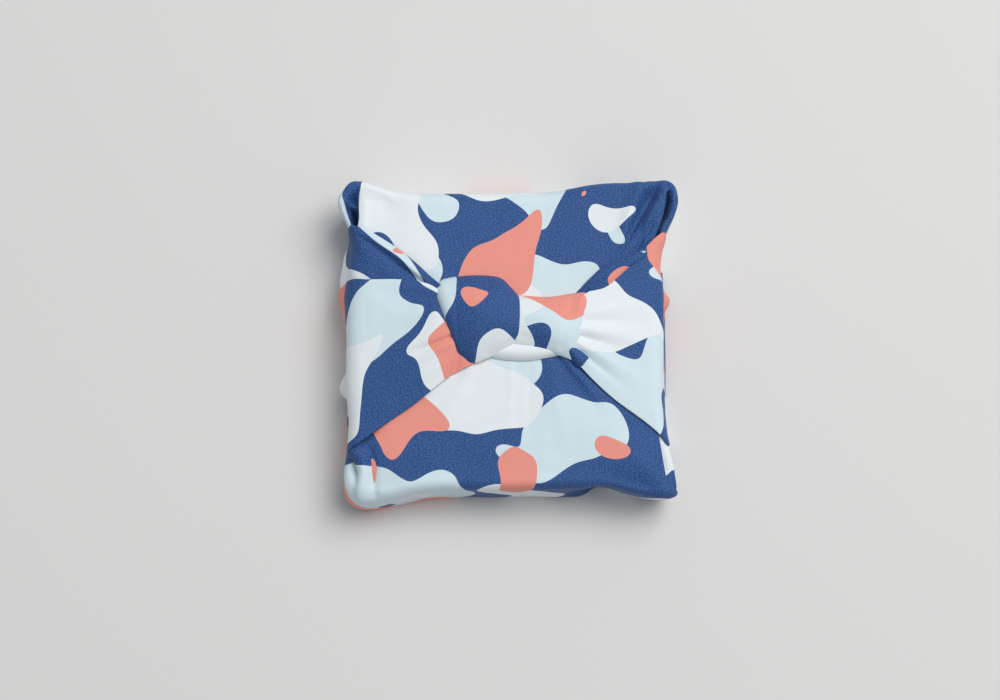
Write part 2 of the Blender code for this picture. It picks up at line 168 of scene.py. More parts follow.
WALL_FOLDS = [
    # the slit of the back left ear, which runs on under the back corner, its inner pleat and its outer roll
    (1.0, (-94.2, 98, 1.8, -2), (-96.2, 93, 3.0, -7), (-96.6, 87, 3.8, -12), (-96.0, 81, 3.6, -14),
     (-94.4, 75, 2.6, -12), (-92.5, 68, 1.6, -6)),
    (1.0, (-99.0, 89.4, 1.8, 4.0), (-97.0, 88.2, 2.0, 7.0), (-95.0, 87.0, 1.6, 5.5)),
    (1.0, (-94.0, 82.4, 1.8, -3.0), (-93.6, 77.4, 1.8, -5.0)),
    (1.0, (-97.6, 83.6, 1.3, 3.5), (-96.0, 76.6, 1.3, 3.5)),
    (1.0, (-99.8, 98, 2.8, 0.8), (-103.4, 89.5, 3.2, 2.2), (-101.5, 79, 2.6, 1.4)),
    # the slit of the back right ear, its outer roll, and the rolled end beside it
    (0.6, (101.5, 99, 2.6, -3), (101, 91, 3.6, -9), (98, 82, 3.6, -13), (95, 75, 3.2, -14),
     (93, 69, 3.0, -9), (92, 62, 2.6, -4)),
    (1.0, (104.5, 99, 2.6, 1.0), (106, 90, 2.8, 2.2), (103.5, 80, 2.6, 1.6)),
    (1.0, (96.8, 76.6, 1.7, 5.5), (96.6, 72.0, 1.8, 4.5)),
    # the trough of the back right ear, and the room under the pleats and the sag of the back corner
    (1.0, (97, 107, 3.0, -1.0), (94, 100.6, 3.6, -4.4), (90.4, 93.4, 4.0, -7.6), (86.6, 87, 4.0, -8.2),
     (82, 78, 3.6, -6.0), (78, 70, 3.2, -3.0)),
    (1.0, (81, 78, 7.0, -1.8), (73, 56, 7.0, -1.8)),
    (1.0, (-76, 90, 7.0, -1.2), (-72, 72, 7.0, -1.2)),
    # the room under the rounded nose of the front left ear
    (1.0, (-80, -54, 8.0, -4), (-88, -60, 8.0, -5), (-97, -66, 8.0, -5), (-95, -82, 8.0, -9),
     (-86, -96, 7.0, -4)),
    # the outer side of the pointed front right ear, open in a short slit at its point
    (1.0, (92, -50, 3.0, -1.6), (96, -66, 3.0, -1.6), (99, -78, 2.6, -1.4)),
    (1.0, (101.5, -62, 1.6, 0.7), (104.6, -78, 1.6, 0.9)),
    (1.0, (102.4, -78, 1.3, -0.8), (105, -87, 1.6, -2.6), (109, -96, 1.3, -1.6)),
]


def rim_distance(angle):
    """Distance from the middle to the plain parcel's rim, a rounded square with its own reach each way."""
    along_x = abs(math.cos(angle)) / RIM_REACH["east" if math.cos(angle) > 0 else "west"]
    along_y = abs(math.sin(angle)) / RIM_REACH["north" if math.sin(angle) > 0 else "south"]
    return (along_x**CORNER_POWER + along_y**CORNER_POWER) ** (-1 / CORNER_POWER)


def ear_shares(angle):
    """Each ear with its strength at an angle: 1 on its own line, falling to 0 at its sides."""
    shares = []
    for ear in EARS:
        off = (math.degrees(angle) - ear[0] + 180) % 360 - 180
        share = math.exp(-((abs(off) / ear[1]) ** ear[6]))
        if share > EAR_FADE:
            shares.append((share, ear))
    return shares


def ear_reach(shares, height):
    """How far the ears stand out at a height, from the three reaches of each."""
    level = min(max(height / RIM_HEIGHT, 0), 1)
    reach = 0
    for share, (_, _, foot, middle, top, _, _) in shares:
        from_foot = foot * (1 - level) * (1 - 2 * level)
        from_middle = 4 * middle * level * (1 - level)
        from_top = top * level * (2 * level - 1)
        reach += (from_foot + from_middle + from_top) * share
    return reach


def eared_rim(angle):
    """Distance from the middle to the rim of the parcel with its ears."""
    return rim_distance(angle) + ear_reach(ear_shares(angle), RIM_HEIGHT)


def side_profile(run):
    """Outward distance, height and slope after a run over the rim, down the wall and round the foot."""
    rim_run = RIM_ROUNDING * WALL_SLOPE
    rim_out = RIM_ROUNDING * math.sin(WALL_SLOPE)
    rim_drop = RIM_ROUNDING * (1 - math.cos(WALL_SLOPE))
    foot_drop = FOOT_ROUNDING * (1 + math.cos(WALL_SLOPE))
    wall_run = (RIM_HEIGHT - rim_drop - foot_drop) / math.sin(WALL_SLOPE)
    if run <= rim_run:
        slope = run / RIM_ROUNDING
        return RIM_ROUNDING * math.sin(slope), RIM_HEIGHT - RIM_ROUNDING * (1 - math.cos(slope)), slope
    run -= rim_run
    if run <= wall_run:
        height = RIM_HEIGHT - rim_drop - run * math.sin(WALL_SLOPE)
        return rim_out + run * math.cos(WALL_SLOPE), height, WALL_SLOPE
    slope = min(WALL_SLOPE + (run - wall_run) / FOOT_ROUNDING, math.pi)
    wall_out = rim_out + wall_run * math.cos(WALL_SLOPE)
    out = wall_out + FOOT_ROUNDING * (math.sin(slope) - math.sin(WALL_SLOPE))
    return out, FOOT_ROUNDING * (1 + math.cos(slope)), slope


def fold_height(x, y, folds):
    """Sum of the folds at a place on the parcel laid open."""
    total = 0
    for lean, *nodes in folds:
        reach = FOLD_WIDTHS * max(lean, 1) * max(node[2] for node in nodes)
        if not min(node[0] for node in nodes) - reach < x < max(node[0] for node in nodes) + reach:
            continue
        nearest, height, width, side = math.inf, 0, 1, 0
        for (x1, y1, width1, height1), (x2, y2, width2, height2) in zip(nodes, nodes[1:]):
            along_x, along_y = x2 - x1, y2 - y1
            place = ((x - x1) * along_x + (y - y1) * along_y) / (along_x**2 + along_y**2)
            place = min(max(place, 0), 1)
            off_x, off_y = x - x1 - place * along_x, y - y1 - place * along_y
            away = math.hypot(off_x, off_y)
            if away < nearest:
                nearest, side = away, along_x * off_y - along_y * off_x
                width = width1 + (width2 - width1) * place
                height = height1 + (height2 - height1) * place
        if side > 0:
            width *= lean
        if nearest < FOLD_WIDTHS * width:
            total += height * math.exp(-((nearest / width) ** 2))
    return total


SLOW_SLACK = 0.6
SLOW_SIZES = (31, 27)
SLOW_STARTS = (0.7, 1.9)
CRUMPLES = [
    # height, size, layer of the noise
    (0.5, 21, 4.2),
    (0.2, 8, 1.7),
]


def slack(x, y):
    """The slack of hand-wrapped cloth: a slow rise and fall, and small soft crumples over it."""
    along_x = math.sin(x / SLOW_SIZES[0] + SLOW_STARTS[0])
    along_y = math.sin(y / SLOW_SIZES[1] + SLOW_STARTS[1])
    crumples = 0
    for height, size, layer in CRUMPLES:
        crumples += height * noise.noise(Vector((x / size, y / size, layer)))
    return SLOW_SLACK * along_x * along_y + crumples


def on_parcel(x, y, lift, folds):
    """The point on the cloth, in metres, for a place on the parcel laid open, lifted off it by some mm."""
    angle = math.atan2(y, x)
    radius = math.hypot(x, y)
    outward = Vector((math.cos(angle), math.sin(angle), 0))
    shares = ear_shares(angle)
    plain_rim = rim_distance(angle)
    rim = plain_rim + ear_reach(shares, RIM_HEIGHT)
    rise = sum(share * ear[5] for share, ear in shares)
    run = radius - rim
    if run <= 0:
        out, slope = run, 0
        near_rim = min(max(1 - (1 - radius / rim) / LIFTED_SHARE, 0), 1) ** 2
        height = RIM_HEIGHT + CROWN * (1 - (radius / rim) ** 2) + rise * near_rim
    else:
        out, height, slope = side_profile(run)
        height += rise * height / RIM_HEIGHT
    distance = plain_rim + ear_reach(shares, height) + out
    normal = outward * math.sin(slope) + Vector((0, 0, math.cos(slope)))
    softness = min(height / FADES_BELOW, 1)
    push = lift + (fold_height(x, y, SWELLINGS) + fold_height(x, y, folds) + slack(x, y)) * softness
    place = outward * distance + Vector((*PARCEL_MIDDLE, height)) + normal * push
    return place * MM


def on_print(x, y, corner):
    """The place on the flat print, in metres, for a place on the parcel laid open."""
    return x * MM + corner[0], y * MM + corner[1]


# Cloth that is higher than this, in metres, lies on the parcel's top and faces up.
TOP_LEVEL = 0.04


def fold_of_cloth(name, rows, prints, round_about=False):
    """One part of the cloth, facing up, from rows of points, each with its place on the flat print."""
    across = len(rows[0])
    columns = across if round_about else across - 1
    faces = []
    upward = 0
    for r in range(len(rows) - 1):
        here, below = r * across, (r + 1) * across
        for c in range(columns):
            ahead = (c + 1) % across
            faces.append((here + c, below + c, below + ahead, here + ahead))
            corners = rows[r][c], rows[r + 1][c], rows[r + 1][ahead], rows[r][ahead]
            if rows[r][c].z > TOP_LEVEL:
                upward += (corners[2] - corners[0]).cross(corners[3] - corners[1]).z
    if upward < 0:
        faces = [face[::-1] for face in faces]
    mesh = bpy.data.meshes.new(name)
    mesh.from_pydata([point for row in rows for point in row], [], faces)
    flat = mesh.uv_layers.new(name="flat_cloth")
    places = [place for row in prints for place in row]
    for loop in mesh.loops:
        flat.data[loop.index].uv = places[loop.vertex_index]
    part = bpy.data.objects.new(name, mesh)
    bpy.context.scene.collection.objects.link(part)
    mesh.shade_smooth()
    return part


# Rings of points run from the middle of the top out to the rim, down the walls and in again under the base.
BODY_COLUMNS = 312
CORNER_CROWDING = 0.175
LEAST_TURN = 0.004
TOP_STEPS = [0.0015, 0.35, 0.6] + [0.72 + 0.28 * i / 30 for i in range(31)]
SIDE_CROWDING = 1.2
SIDE_STEPS = [(i / 34) ** SIDE_CROWDING for i in range(1, 35)]
SIDE_RUN = 50.6
UNDER_STEPS = (0.985, 0.93, 0.8, 0.6, 0.35, 0.002)
UNDER_HEIGHT = 0.0003
UNDER_EDGE_RISE = 0.0004
# The back and the front corner lie over the walls between these angles, and the walls' cloth is pressed down
# there, in mm. Over the tops of the back ears the back corner and the walls are one fold.
BACK_ANGLES = (44.0, 132.8)
BACK_FADE = 8
FRONT_ANGLES = (196.0, 319.5)
FRONT_FADES = (6, 8)
COVER = 1.0
COVER_SHARE = 0.125
BLEND_LEFT = (122, 130)
BLEND_RIGHT = (54, 47)
BLEND_RIM = (0.9, 0.965)
WALL_PRINT = (1.04, 0.17)
UNDER_PRINT = (0.31, 0.17)


def round_angles(count, first=0.0, last=360.0):
    """Angles round the parcel, closer at its corners, between two given in degrees."""
    even = [2 * math.pi * i / count for i in range(count)]
    angles = [angle + CORNER_CROWDING * math.sin(4 * angle) for angle in even]
    if last - first == 360:
        return angles
    first, last = math.radians(first), math.radians(last)
    between = [angle for angle in angles if first + LEAST_TURN < angle < last - LEAST_TURN]
    return [first] + between + [last]


def ramp(value, first, last):
    """A soft rise from 0 to 1 between two values."""
    share = min(max((value - first) / (last - first), 0), 1)
    return share * share * (3 - 2 * share)


def ear_blend(angle, radius, rim):
    """Where the back corner and the walls are one smooth fold, over the rim at the back ears' tops."""
    degrees = math.degrees(angle) % 360
    beside = max(ramp(degrees, *BLEND_LEFT), ramp(degrees, *BLEND_RIGHT))
    return beside * ramp(radius / rim, *BLEND_RIM) if degrees < 180 else 0


def covered(angle, radius, rim):
    """How far the walls' cloth is pressed down where the back or the front corner lies over it."""
    degrees = math.degrees(angle) % 360
    (right, left), (front_left, front_right) = BACK_ANGLES, FRONT_ANGLES
    behind = ramp(degrees, right - BACK_FADE, right) * ramp(degrees, left + BACK_FADE, left)
    behind *= 1 - ear_blend(angle, radius, rim)
    before = ramp(degrees, front_left - FRONT_FADES[0], front_left)
    before *= ramp(degrees, front_right + FRONT_FADES[1], front_right)
    inside = min(max((1 - radius / rim) / COVER_SHARE, 0), 1)
    return COVER * max(behind, before, inside)


rows, prints = [], []
for step in TOP_STEPS + [1 + s for s in SIDE_STEPS]:
    row, print_row = [], []
    for angle in round_angles(BODY_COLUMNS):
        rim = eared_rim(angle)
        radius = rim * step if step <= 1 else rim + (step - 1) * SIDE_RUN
        x, y = radius * math.cos(angle), radius * math.sin(angle)
        row.append(on_parcel(x, y, -covered(angle, radius, rim), WALL_FOLDS))
        print_row.append(on_print(x, y, WALL_PRINT))
    rows.append(row)
    prints.append(print_row)
foot = rows[-1]
for share in UNDER_STEPS:
    height = UNDER_HEIGHT + UNDER_EDGE_RISE * share
    rows.append([Vector((p.x * share, p.y * share, height)) for p in foot])
    prints.append([(p.x * share + UNDER_PRINT[0], p.y * share + UNDER_PRINT[1]) for p in foot])
wall_fold = fold_of_cloth("wall_fold", rows, prints, round_about=True)


# ---- Back corner -----------------------------------------------------------------------------------------
# The back corner comes up the back wall and is folded forward over the top, where its tip goes under the
# knot. Its left edge is the lip of the left slit, and soft pleats gather it into the right ear.

BACK_LIP = [
    # share of the way from the right edge to the left edge, x, y
    (0.0, 89.0, 60),
    (0.12, 72, 40),
    (0.25, 52, 27),
    (0.5, 0, 20),
    (0.72, -42, 22),
    (0.85, -64, 38),
    (1.0, -92.8, 63),
]
BACK_COLUMNS = 400
BACK_TOP_STEPS = 46
BACK_TOP_CROWDING = 0.85
BACK_WALL_STEPS = 26
BACK_EDGE_BOW = 2.0
BACK_BOWED_COLUMNS = 14
BACK_PRESS = 0.9
CORNER_SIDE_RUN = SIDE_RUN * 0.985
# A hem is the radius of its edge in metres, and how many columns back each line of its under layer lies.
FLAT_HEM = (0.00045, (2, 5))
HEM_TURNS = (35, 70, 105, 140, 180)
NO_LENGTH = 1e-9
BACK_FOLDS = [
    # the soft trough of the right ear between its two ridges
    (1.0, (97, 107, 3.0, -1.0), (94, 100.6, 3.6, -4.4), (90.4, 93.4, 3.8, -7.0),
     (87.4, 88.4, 3.4, -6.8), (84, 82, 2.8, -5.4), (81, 76, 2.4, -3.6), (78, 70, 2.0, -1.6)),
    (1.0, (84, 107, 3.5, 0.8), (81, 92, 4.0, 2.2), (75, 79, 3.6, 1.6), (67, 65, 3.6, 0.5)),
    (1.0, (98.5, 98, 2.2, 0.8), (94.5, 90, 2.3, 1.8), (90.6, 82, 2.1, 2.4), (88, 75, 1.9, 2.0),
     (86, 64, 1.6, 1.0)),
    # pleats that fan out below the right ear
    (1.0, (83, 82, 1.2, -0.8), (77.4, 70, 1.3, -1.5), (70, 56, 1.6, -1.2)),
    (1.0, (80, 82, 1.4, 1.0), (73.4, 68, 1.5, 1.2), (66, 56, 2.0, 0.6)),
    (1.0, (91.4, 77, 1.1, -0.9), (85.6, 67, 1.3, -1.7), (79, 56, 1.6, -1.3)),
    (1.0, (94.4, 77, 1.2, 1.0), (89.6, 68, 1.2, 1.1), (83, 57, 1.4, 0.7)),
    # the raised lip along the left slit, and the slow sag of the corner behind it
    (1.0, (-86, 106, 3.0, -0.6), (-88.4, 96, 2.6, 0.2), (-87.8, 88, 2.6, 1.0), (-89, 76, 2.4, 1.0)),
    (1.0, (-76, 100, 6.0, -0.8), (-74, 84, 7.0, -1.0), (-70, 72, 6.0, -0.5)),
    # faint marks of the press, where the cloth lay folded
    (1.0, (-1, 92, 1.4, 0.25), (0, 50, 1.4, 0.25)),
    (1.0, (23, 94, 1.6, -0.25), (25, 50, 1.6, -0.25)),
]


def along_lip(lip, share):
    """The place on a lip at a share of the way along it."""
    for (share1, x1, y1), (share2, x2, y2) in zip(lip, lip[1:]):
        if share <= share2:
            t = (share - share1) / (share2 - share1)
            return x1 + (x2 - x1) * t, y1 + (y2 - y1) * t
    return lip[-1][1:]


def row_normals(rows):
    """The cloth's normals at the points of its rows, facing up."""
    normals, upward = [], 0
    for r, row in enumerate(rows):
        line = []
        for c in range(len(row)):
            down = rows[min(r + 1, len(rows) - 1)][c] - rows[max(r - 1, 0)][c]
            aside = row[min(c + 1, len(row) - 1)] - row[max(c - 1, 0)]
            line.append(down.cross(aside).normalized())
        normals.append(line)
        upward += sum(normal.z for normal, point in zip(line, row) if point.z > TOP_LEVEL)
    return [[-normal for normal in line] for line in normals] if upward < 0 else normals


def turned_edge(row, normals, places, radius, under):
    """The cloth turned under past a row's end: a rounded edge, and the layer beneath it at some columns."""
    edge, normal = row[-1], normals[-1]
    outward = (edge - row[-2]).normalized()
    u, v = places[-1]
    step_u, step_v = u - places[-2][0], v - places[-2][1]
    pace = max(math.hypot(step_u, step_v), NO_LENGTH)
    points, point_places = [], []
    for degrees in HEM_TURNS:
        turn = math.radians(degrees)
        points.append(edge + outward * radius * math.sin(turn) - normal * radius * (1 - math.cos(turn)))
        run = radius * turn / pace
        point_places.append((u + step_u * run, v + step_v * run))
    gone = radius * math.pi
    for back in under:
        column = len(row) - 1 - back
        point = row[column] - normals[column] * 2 * radius
        gone += (point - points[-1]).length
        points.append(point)
        point_places.append((u + step_u * gone / pace, v + step_v * gone / pace))
    return points, point_places


def turn_hems(rows, prints, first=None, last=None):
    """Turns the cloth under at the first or the last ends of its rows, or at both."""
    for row, normals, places in zip(rows, row_normals(rows), prints):
        before = turned_edge(row[::-1], normals[::-1], places[::-1], *first) if first else ([], [])
        after = turned_edge(row, normals, places, *last) if last else ([], [])
        row[:] = before[0][::-1] + row + after[0]
        places[:] = before[1][::-1] + places + after[1]


def rim_places(count, angles):
    """Places along the rim between two angles, each with its angle, distance, x, y and share of the way."""
    places = []
    for angle in round_angles(count, *angles):
        rim = eared_rim(angle)
        places.append((angle, rim, rim * math.cos(angle), rim * math.sin(angle)))
    first_x, last_x = places[0][2], places[-1][2]
    return [place + ((place[2] - first_x) / (last_x - first_x),) for place in places]


def laid_corner(name, columns, column_prints, **hems):
    """A corner of the cloth from its columns of points, each from its lip down to the foot of the wall."""
    rows = [list(row) for row in zip(*columns)]
    prints = [list(row) for row in zip(*column_prints)]
    turn_hems(rows, prints, **hems)
    return fold_of_cloth(name, rows, prints)


columns, column_prints = [], []
for n, (angle, rim, rim_x, rim_y, along) in enumerate(rim_places(BACK_COLUMNS, BACK_ANGLES)):
    lip_x, lip_y = along_lip(BACK_LIP, along)
    column = []
    for i in range(BACK_TOP_STEPS):
        share = (i / BACK_TOP_STEPS) ** BACK_TOP_CROWDING
        bow = BACK_EDGE_BOW * math.sin(math.pi * share) * max(1 - n / BACK_BOWED_COLUMNS, 0)
        column.append((lip_x + (rim_x - lip_x) * share + bow, lip_y + (rim_y - lip_y) * share))
    for i in range(BACK_WALL_STEPS + 1):
        radius = rim + CORNER_SIDE_RUN * (i / BACK_WALL_STEPS) ** SIDE_CROWDING
        column.append((radius * math.cos(angle), radius * math.sin(angle)))
    points = []
    for x, y in column:
        press = BACK_PRESS * ear_blend(angle, math.hypot(x, y), rim)
        points.append(on_parcel(x, y, -press, BACK_FOLDS))
    columns.append(points)
    column_prints.append([on_print(x, y, WALL_PRINT) for x, y in column])
back_fold = laid_corner("back_fold", columns, column_prints, first=FLAT_HEM, last=FLAT_HEM)


# ---- Front corner ----------------------------------------------------------------------------------------
# The front corner comes up the front wall, round both front ears, and over the top to the knot, where its
# tip is tucked in. Its right edge is a turned hem that lies as a step on the right ear.

FRONT_COLUMNS = 410
FRONT_LIP = 18.0
FRONT_LIP_ENDS = (-40.0, 81.5)
FRONT_LIP_SUNK = 0.35
FRONT_LIP_SHARE = 1 / 12
FRONT_TUCK = 46.0
FRONT_TUCK_STEPS = 8
FRONT_TUCK_NARROWED = 0.92
FRONT_TUCK_SUNK = 0.75
FRONT_TOP_STEPS = 56
FRONT_WALL_STEPS = 36
FRONT_FOLDS = [
    # the rounded nose of the left ear: its dimple, the rim round it, the valleys above and beside it
    (1.0, (-96.4, -71.6, 1.6, -1.2), (-95.4, -75.4, 2.3, -6.0), (-93.8, -79.4, 2.6, -7.0),
     (-92.2, -84.0, 1.9, -1.6)),
    (1.0, (-102, -68, 2.4, 1.4), (-101.6, -80, 3.0, 2.0), (-97, -93, 3.4, 1.6)),
    (1.0, (-99, -66.4, 2.2, 1.4), (-93, -66.6, 2.6, 2.4), (-88.6, -71, 3.0, 2.8),
     (-87.6, -80, 3.4, 2.8), (-88, -93, 4.0, 2.0)),
    (1.0, (-104, -58, 2.0, -1.0), (-97, -60, 1.8, -1.6), (-90, -60.4, 2.0, -2.4), (-84, -56, 2.4, -2.2),
     (-78, -50, 3.0, -0.8)),
    (1.0, (-84.0, -64, 2.0, -1.2), (-81.4, -76, 2.4, -2.2), (-80.6, -92, 2.6, -1.6)),
    # the lip that lifts off the foot of the wall beside the nose
    (0.5, (-90, -114, 3.6, -5.0), (-75, -108, 3.6, -4.8), (-58, -99, 2.6, -1.8)),
    (1.0, (-84, -104, 3.0, 1.4), (-64, -96, 3.0, 1.0)),
    # the soft crease where the top turns down, and the pointed right ear
    (1.0, (-60, -86, 5.0, 0.7), (0, -86.5, 4.0, 0.5), (60, -86, 5.0, 0.8)),
    (1.0, (66, -82, 5.0, -0.9), (86, -88, 5.0, -0.9)),
    (1.0, (78, -70, 5.0, 0.5), (100, -92, 4.0, 1.0)),
    # folds that the knot draws in the cloth: the ridge beside the right tail, and soft pulls
    (2.6, (34.5, -7, 1.2, 2.4), (41, -16.5, 1.3, 2.4), (48, -24.5, 1.5, 1.8), (55.5, -33, 2.2, 0.9),
     (64, -42, 3.0, 0.3)),
    (1.0, (28, -14, 3.0, 1.0), (31, -34, 4.0, 0.6), (35, -56, 5.0, 0.2)),
    (1.0, (-21, -13, 3.0, 0.9), (-29, -30, 4.0, 0.6), (-39, -46, 5.0, 0.2)),
    (1.0, (3, -12, 1.6, 0.4), (2, -60, 2.0, 0.25)),
    (1.0, (15, -14, 1.4, -0.35), (14, -70, 1.6, -0.25)),
    (1.0, (25, -20, 2.0, 0.3), (23, -74, 2.4, 0.2)),
]
FRONT_PRINT = (1.30, -0.12)

columns, column_prints = [], []
for angle, rim, rim_x, rim_y, along in rim_places(FRONT_COLUMNS, FRONT_ANGLES):
    lip_x = FRONT_LIP_ENDS[0] + (FRONT_LIP_ENDS[1] - FRONT_LIP_ENDS[0]) * min(max(along, 0), 1)
    column = []
    for i in range(FRONT_TUCK_STEPS, 0, -1):
        y = FRONT_LIP - FRONT_TUCK * i / FRONT_TUCK_STEPS
        column.append((lip_x * FRONT_TUCK_NARROWED, y, -FRONT_TUCK_SUNK))
    for i in range(FRONT_TOP_STEPS):
        share = i / FRONT_TOP_STEPS
        sunk = FRONT_LIP_SUNK * (1 - min(share / FRONT_LIP_SHARE, 1)) ** 2
        column.append((lip_x + (rim_x - lip_x) * share, FRONT_LIP + (rim_y - FRONT_LIP) * share, -sunk))
    for i in range(FRONT_WALL_STEPS + 1):
        radius = rim + CORNER_SIDE_RUN * i / FRONT_WALL_STEPS
        column.append((radius * math.cos(angle), radius * math.sin(angle), 0.0))
    columns.append([on_parcel(x, y, lift, FRONT_FOLDS) for x, y, lift in column])
    column_prints.append([on_print(x, y, FRONT_PRINT) for x, y, lift in column])
front_fold = laid_corner("front_fold", columns, column_prints, last=FLAT_HEM)


# ---- Left tail and the fold under it ---------------------------------------------------------------------
# The left corner comes up the left wall. Its back edge is rolled over a narrow trough, and the corner is
# then folded again into a broad flat tail, which narrows as it runs into the knot.

UNDER_TAIL = [
    # x and y of the back edge, x and y of the front edge, lift at the back edge, the middle and the front
    (-129, 60, -129, 27, -0.6, -0.6, -0.6),
    (-120, 65, -120, 26, 1.0, 1.0, 1.0),
    (-110, 70.5, -110, 24, 1.5, 1.5, 1.5),
    (-101.5, 73, -101, 24, 1.8, 1.6, 1.7),
    (-95, 73.8, -93, 24, 2.2, 1.6, 1.7),
    (-87, 71.6, -84, 24, 2.8, 1.7, 1.7),
    (-69, 60.4, -70, 24, 3.2, 1.9, 1.8),
    (-57, 50.8, -58, 23, 3.6, 2.4, 2.2),
    (-45, 39.6, -46, 20, 4.2, 3.2, 3.0),
    (-31, 28, -33, 16, 5.4, 4.6, 4.2),
]
LEFT_TAIL = [
    (-131, 31, -131, -57, -0.5, -0.5, -0.5),
    (-122, 34.5, -122, -59, 1.4, 1.5, 1.1),
    (-111, 37.6, -111, -62, 3.2, 3.0, 1.7),
    (-101, 39.2, -99.5, -65.5, 3.6, 3.4, 1.9),
    (-93, 39.8, -94, -62.5, 3.8, 3.7, 1.9),
    (-83, 40, -87, -58, 4.0, 4.4, 1.9),
    (-65, 39.8, -74, -49, 4.0, 5.4, 1.9),
    (-50, 37.4, -56.5, -37, 4.4, 6.8, 2.2),
    (-41, 32.5, -43, -26.0, 5.0, 8.0, 2.8),
    (-32, 26, -33.5, -18.8, 4.4, 6.6, 2.8),
    (-18, 18, -19.5, -11.8, 2.4, 3.4, 2.4),
]
UNDER_TAIL_FOLDS = [
    # the narrow trough under the rolled edge, the roll, and the sag below the rounded end of the roll
    (0.5, (-93, 69, 1.6, -0.2), (-86, 64.8, 2.4, -1.1), (-77.2, 58.5, 2.8, -1.6),
     (-69.4, 52.2, 3.0, -1.7), (-61.6, 45.8, 2.8, -1.7), (-53.8, 40.2, 2.4, -1.7),
     (-44, 32, 2.0, -1.4)),
    (1.0, (-92, 70.6, 2.2, 0.6), (-78, 62.6, 2.1, 1.5), (-64, 51.4, 2.1, 1.6), (-50, 39.6, 2.0, 1.2)),
    (1.0, (-100, 66, 2.6, -0.5), (-92, 55, 3.4, -1.1), (-89, 40, 3.4, -0.6)),
    (1.0, (-84, 54, 5.0, 0.7), (-72, 44, 4.0, 0.6)),
]
LEFT_TAIL_FOLDS = [
    # the long crease that runs into the knot, with a soft ridge on each side
    (1.0, (-32.4, 4.8, 1.0, -1.2), (-41, 0.8, 1.1, -1.2), (-50, -3.2, 1.5, -0.9), (-66, -8.5, 2.6, -0.3)),
    (1.0, (-33, 8.4, 2.4, 0.6), (-50, 1.6, 3.0, 0.7), (-68, -3.5, 4.0, 0.3)),
    (1.0, (-34, -0.6, 2.4, 0.6), (-52, -8.4, 3.4, 0.5), (-70, -14, 5.0, 0.2)),
    # the last fold before the knot, which overlaps the strip beside the point of the left band
    (4.0, (-30.4, 4, 0.7, -0.8), (-30.4, -5, 0.8, -1.7), (-31.4, -12, 0.8, -1.9), (-34, -19, 0.8, -1.7)),
    # soft folds that spread from the knot over the tail, and the slow rise where it turns down the wall
    (1.0, (-36, 18, 3.0, 0.7), (-58, 17, 4.5, 0.6), (-82, 16, 7.0, 0.2)),
    (1.0, (-36, 26, 2.0, -0.5), (-56, 30, 3.0, -0.4), (-84, 32, 5.0, -0.2)),
    (1.0, (-40, -13, 3.0, 0.5), (-58, -24, 5.0, 0.5), (-80, -40, 7.0, 0.3)),
    (1.0, (-96, 24, 5.0, 0.5), (-98, -30, 5.0, 0.5)),
]


def smooth_row(stations, place):
    """The station at a place from 0 to 1 along a table, on a smooth curve through its stations."""
    span = place * (len(stations) - 1)
    first = min(int(span), len(stations) - 2)
    t = span - first
    before, here = stations[max(first - 1, 0)], stations[first]
    ahead, after = stations[first + 1], stations[min(first + 2, len(stations) - 1)]
    return [
        0.5 * (2 * b + (c - a) * t + (2 * a - 5 * b + 4 * c - d) * t**2 + (3 * b - a - 3 * c + d) * t**3)
        for a, b, c, d in zip(before, here, ahead, after)
    ]


def flat_places(rows, corner, turned):
    """Places on the flat print for rows of points: true lengths from a corner, turned by some degrees."""
    middle = len(rows[0]) // 2
    cosine, sine = math.cos(math.radians(turned)), math.sin(math.radians(turned))
    along = 0
    places = []
    for r, row in enumerate(rows):
        if r:
            along += (row[middle] - rows[r - 1][middle]).length
        line, across = [], 0
        for c, point in enumerate(row):
            if c:
                across += (point - row[c - 1]).length
            line.append(across)
        from_middle = [length - line[middle] for length in line]
        start_u, start_v = corner[0] + along * cosine, corner[1] + along * sine
        places.append([(start_u - off * sine, start_v + off * cosine) for off in from_middle])
    return places


def tail_rows(stations, folds, along, across):
    """Rows of points for a tail of cloth over the parcel, bowed between its two edges."""
    rows = []
    for i in range(along + 1):
        x1, y1, x2, y2, lift1, middle, lift2 = smooth_row(stations, i / along)
        row = []
        for j in range(across + 1):
            v = j / across
            x, y = x1 + (x2 - x1) * v, y1 + (y2 - y1) * v
            bow = middle - (lift1 + lift2) / 2
            lift = lift1 + (lift2 - lift1) * v + bow * math.sin(math.pi * v)
            row.append(on_parcel(x, y, lift, folds))
        rows.append(row)
    return rows


def laid_tail(name, stations, folds, grid, corner, turned, **hems):
    """A tail of the cloth, with its grid along and across, its place on the print, and its hems."""
    rows = tail_rows(stations, folds, *grid)
    prints = flat_places(rows, corner, turned)
    turn_hems(rows, prints, **hems)
    return fold_of_cloth(name, rows, prints)


under_tail_fold = laid_tail(
    "under_tail_fold",
    UNDER_TAIL,
    UNDER_TAIL_FOLDS,
    grid=(100, 44),
    corner=(0.51, 0.37),
    turned=60,
    first=(0.0008, (3, 7, 14, 24, 36)),
)
left_tail_fold = laid_tail(
    "left_tail_fold",
    LEFT_TAIL,
    LEFT_TAIL_FOLDS,
    grid=(124, 76),
    corner=(0.76, 0.38),
    turned=-150,
    first=(0.00065, (4, 9, 15)),
    last=(0.00055, (3, 6)),
)


# ---- Right tail and its rolled hem -----------------------------------------------------------------------
# The right corner comes up the right wall and narrows into the knot. Its back hem is rolled up on itself
# and runs from the back right ear to the knot, and soft gathers spread from the knot over the tail.

